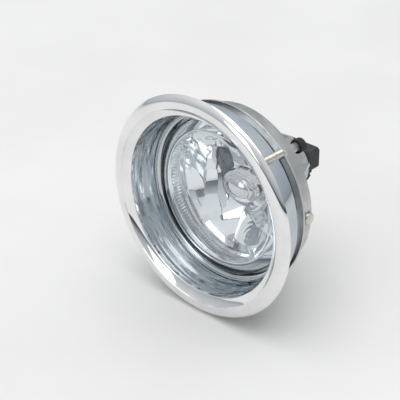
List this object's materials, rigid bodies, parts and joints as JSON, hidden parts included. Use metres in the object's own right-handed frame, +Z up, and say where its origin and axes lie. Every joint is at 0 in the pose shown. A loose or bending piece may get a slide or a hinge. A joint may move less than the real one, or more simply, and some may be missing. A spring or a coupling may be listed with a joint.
{
  "type": "fog light",
  "caption": "Round recessed fog light with a chrome trim bezel, a deep chrome well, a clear domed lens, a faceted reflector with an oval bulb shield, a tilting housing and a twist-in bulb.",
  "frame": {"origin": "centre of the bumper opening, on the bezel's seat plane, which is the rear face of the flange gasket", "axes": "+Y runs back into the vehicle along the light's axis and the studs, so the light shines along -Y; +Z is up; +X is right seen from the front"},
  "size_m": [0.15, 0.1085, 0.15],
  "materials": {
    "bezel_chrome": "bright chrome plate on moulded plastic",
    "well_chrome": "bright chrome plate inside the well, satin behind",
    "rubber_black": "matt moulded rubber",
    "silicone_pale": "translucent silicone bead",
    "zinc_steel": "zinc plated",
    "bracket_zinc": "stamped steel, zinc plated, satin",
    "housing_cast": "die-cast, fine grain",
    "nylon_natural": "natural nylon",
    "lens_clear": "clear, polished",
    "reflector_bright": "vapour-coated mirror aluminium",
    "shield_bright": "polished",
    "bulb_clear": "clear quartz",
    "tungsten": "drawn tungsten",
    "base_plastic": "heat-resistant moulding",
    "terminal_tin": "tin plated"
  },
  "bodies": {
    "carrier": {"trim_bezel": "bezel_chrome", "flange_gasket": "rubber_black", "bezel_studs": "zinc_steel", "recess_cup": "well_chrome", "bracket_ring": "bracket_zinc", "bracket_screws": "zinc_steel", "pivot_pins": "zinc_steel"},
    "lamp": {"lamp_housing": "housing_cast", "lens_seal": "silicone_pale", "lens": "lens_clear", "reflector": "reflector_bright", "bulb_shield": "shield_bright", "shield_leg": "shield_bright", "shield_rivet": "zinc_steel", "pivot_bushes": "nylon_natural", "aim_nut": "nylon_natural", "vent_cap": "rubber_black"},
    "bulb": {"bulb_base": "base_plastic", "bulb_collar": "zinc_steel", "bulb_glass": "bulb_clear", "filament": "tungsten", "lead_wires": "zinc_steel", "bulb_o_ring": "rubber_black", "connector_terminals": "terminal_tin"},
    "aim_screw": {"aim_screw": "zinc_steel", "aim_screw_clip": "zinc_steel"}
  },
  "joints": [
    {"name": "aim_tilt", "type": "hinge", "parent": "carrier", "child": "lamp", "pos_m": [0, 0.036, 0], "axis": [1, 0, 0], "range_deg": [-4, 4]},
    {"name": "aim_turn", "type": "hinge", "parent": "carrier", "child": "aim_screw", "pos_m": [0, 0.06, -0.0515], "axis": [0, 1, 0], "range_deg": [-810, 810]},
    {"name": "bulb_twist", "type": "hinge", "parent": "lamp", "child": "bulb", "pos_m": [0, 0.086, 0], "axis": [0, 1, 0], "range_deg": [0, 45]}
  ],
  "couplings": [
    {"joint": "aim_turn", "follows": "aim_tilt", "ratio": -202.24}
  ]
}
